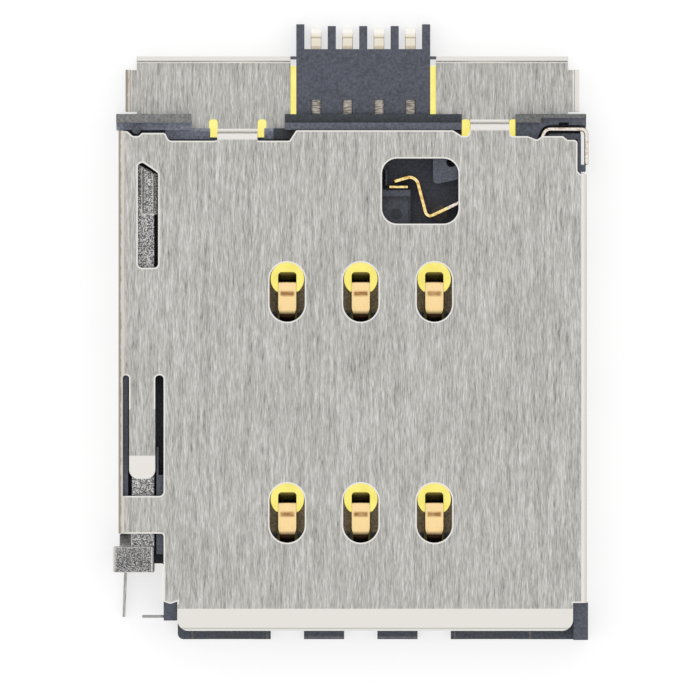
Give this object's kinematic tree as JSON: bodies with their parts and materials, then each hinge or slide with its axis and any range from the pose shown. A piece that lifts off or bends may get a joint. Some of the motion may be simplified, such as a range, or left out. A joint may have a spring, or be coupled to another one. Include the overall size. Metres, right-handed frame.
{
  "type": "sim card reader",
  "caption": "Flat card reader for a phone: folded steel shell over a moulded base with sprung gold contacts, a card-detect switch and a push-rod tray ejector.",
  "frame": {"origin": "centre of the card's contact field, on the underside where the reader meets the board", "axes": "+Z away from the board, +Y the way the tray goes in, +X to the right seen from above with the mouth towards the viewer"},
  "size_m": [0.0165, 0.0213, 0.0017],
  "materials": {
    "shell_steel": "fine brushed grain along the tray's way",
    "base_plastic": "matt moulded",
    "film_yellow": "clear yellow film",
    "contact_gold": "gold-plated spring",
    "rod_steel": "grainy sintered",
    "lever_steel": "plain stamped"
  },
  "bodies": {
    "reader": {"top_shell": "shell_steel", "base_housing": "base_plastic", "insulating_film": "film_yellow", "contact_vcc": "contact_gold", "contact_reset": "contact_gold", "contact_clock": "contact_gold", "contact_ground": "contact_gold", "contact_program": "contact_gold", "contact_data": "contact_gold", "detect_spring": "contact_gold", "detect_contact": "contact_gold", "rod_stop": "lever_steel", "lever_pivot": "lever_steel"},
    "rod": {"eject_rod": "rod_steel"},
    "lever": {"eject_lever": "lever_steel"}
  },
  "joints": [
    {"name": "rod_slide", "type": "slide", "parent": "reader", "child": "rod", "axis": [0, 1, 0], "range_m": [-0.00143, 0.00038]},
    {"name": "lever_swing", "type": "hinge", "parent": "reader", "child": "lever", "pos_m": [-0.00537, 0.00737, 0.0008], "axis": [0, 0, 1], "range_deg": [-9, 33]}
  ],
  "couplings": [
    {"joint": "lever_swing", "follows": "rod_slide", "rad_per_m": -395}
  ]
}
